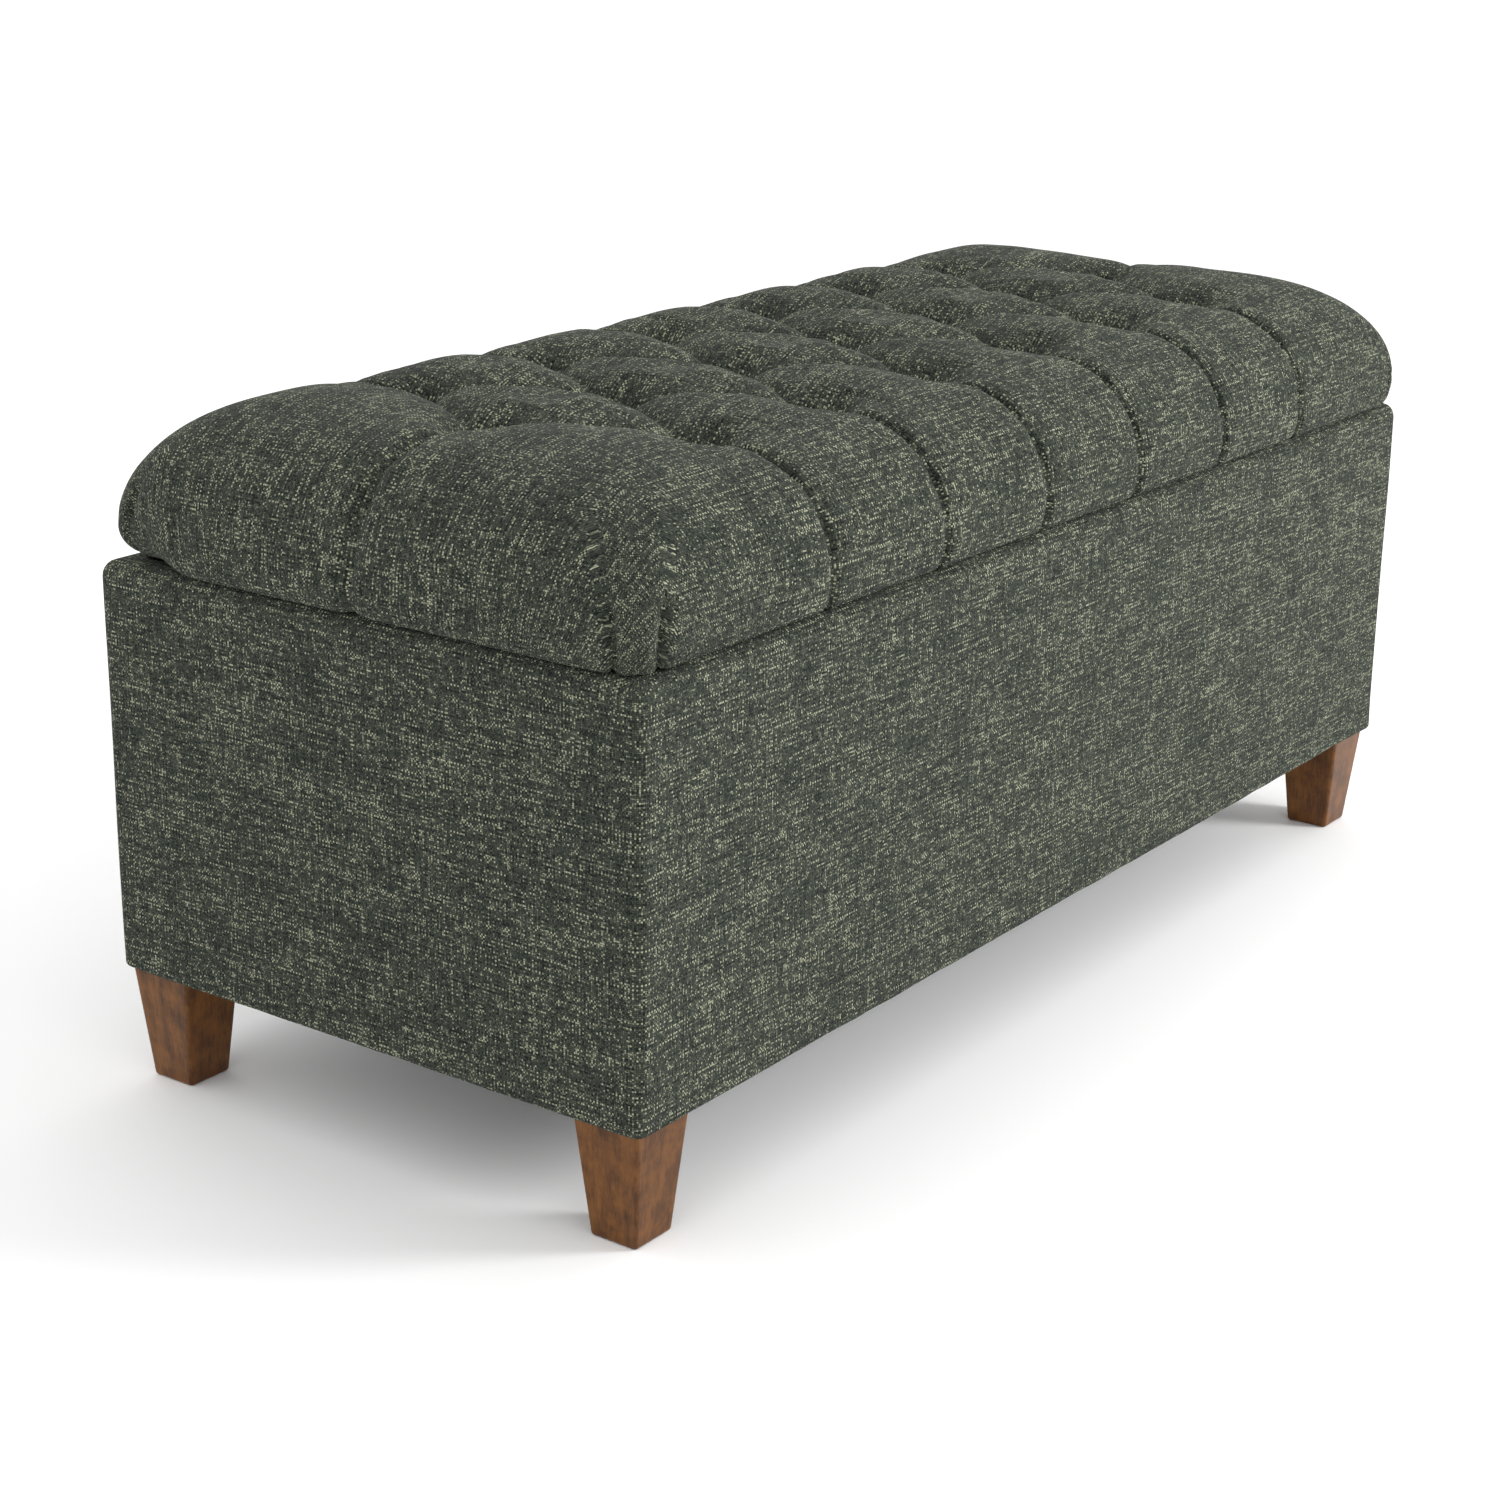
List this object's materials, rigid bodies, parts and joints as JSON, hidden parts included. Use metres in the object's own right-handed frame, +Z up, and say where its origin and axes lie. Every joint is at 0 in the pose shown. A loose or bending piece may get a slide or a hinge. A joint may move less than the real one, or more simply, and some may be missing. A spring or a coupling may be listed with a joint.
{
  "type": "storage bench",
  "caption": "Rectangular upholstered storage bench with a hinged, button-tufted padded lid, a lined storage well and short tapered wooden legs.",
  "frame": {"origin": "on the floor under the middle of the box", "axes": "+X to the bench's right along its length, +Y to the back where the hinges are, +Z up"},
  "size_m": [1.075, 0.468, 0.5],
  "materials": {
    "fabric": "matte",
    "lining": "matte",
    "foam": "matte",
    "plywood": "matte",
    "leg_wood": "satin",
    "steel": "satin",
    "rubber": "matte"
  },
  "bodies": {
    "base": {"back_cleat": "plywood", "back_panel": "plywood", "base_cover": "fabric", "base_lining": "lining", "corner_block_back_left": "plywood", "corner_block_back_right": "plywood", "corner_block_front_left": "plywood", "corner_block_front_right": "plywood", "dust_cloth": "lining", "floor_panel": "plywood", "front_cleat": "plywood", "front_panel": "plywood", "left_bumper": "rubber", "left_hinge_base_leaf": "steel", "left_hinge_pin": "steel", "left_panel": "plywood", "left_stay_stud": "steel", "leg_back_left": "leg_wood", "leg_back_right": "leg_wood", "leg_bolt_back_left": "steel", "leg_bolt_back_right": "steel", "leg_bolt_front_left": "steel", "leg_bolt_front_right": "steel", "leg_front_left": "leg_wood", "leg_front_right": "leg_wood", "right_bumper": "rubber", "right_hinge_base_leaf": "steel", "right_hinge_pin": "steel", "right_panel": "plywood", "right_stay_stud": "steel"},
    "lid": {"left_hinge_lid_leaf": "steel", "left_stay_bracket": "steel", "lid_board": "plywood", "lid_lining": "lining", "right_hinge_lid_leaf": "steel", "right_stay_bracket": "steel", "seat_cover": "fabric", "seat_foam": "foam", "tuft_button_01": "fabric", "tuft_button_02": "fabric", "tuft_button_03": "fabric", "tuft_button_04": "fabric", "tuft_button_05": "fabric", "tuft_button_06": "fabric", "tuft_button_07": "fabric", "tuft_button_08": "fabric", "tuft_button_09": "fabric", "tuft_button_10": "fabric", "tuft_button_11": "fabric", "tuft_button_12": "fabric", "tuft_button_13": "fabric", "tuft_button_14": "fabric", "tuft_button_15": "fabric", "tuft_button_16": "fabric", "tuft_button_17": "fabric", "tuft_button_18": "fabric", "tuft_button_19": "fabric"},
    "left_stay": {"left_stay_arm": "steel"},
    "right_stay": {"right_stay_arm": "steel"}
  },
  "joints": [
    {"name": "lid_hinge", "type": "hinge", "parent": "base", "child": "lid", "pos_m": [0, 0.229, 0.38775], "axis": [-1, 0, 0], "range_deg": [0, 95]},
    {"name": "left_stay_pivot", "type": "hinge", "parent": "lid", "child": "left_stay", "pos_m": [-0.5094, 0.09957, 0.37983], "axis": [-1, 0, 0], "range_deg": [-48, 0]},
    {"name": "right_stay_pivot", "type": "hinge", "parent": "lid", "child": "right_stay", "pos_m": [0.5094, 0.09957, 0.37983], "axis": [-1, 0, 0], "range_deg": [-48, 0]}
  ],
  "couplings": [
    {"joint": "left_stay_pivot", "follows": "lid_hinge", "ratio": -0.5},
    {"joint": "right_stay_pivot", "follows": "lid_hinge", "ratio": -0.5}
  ]
}
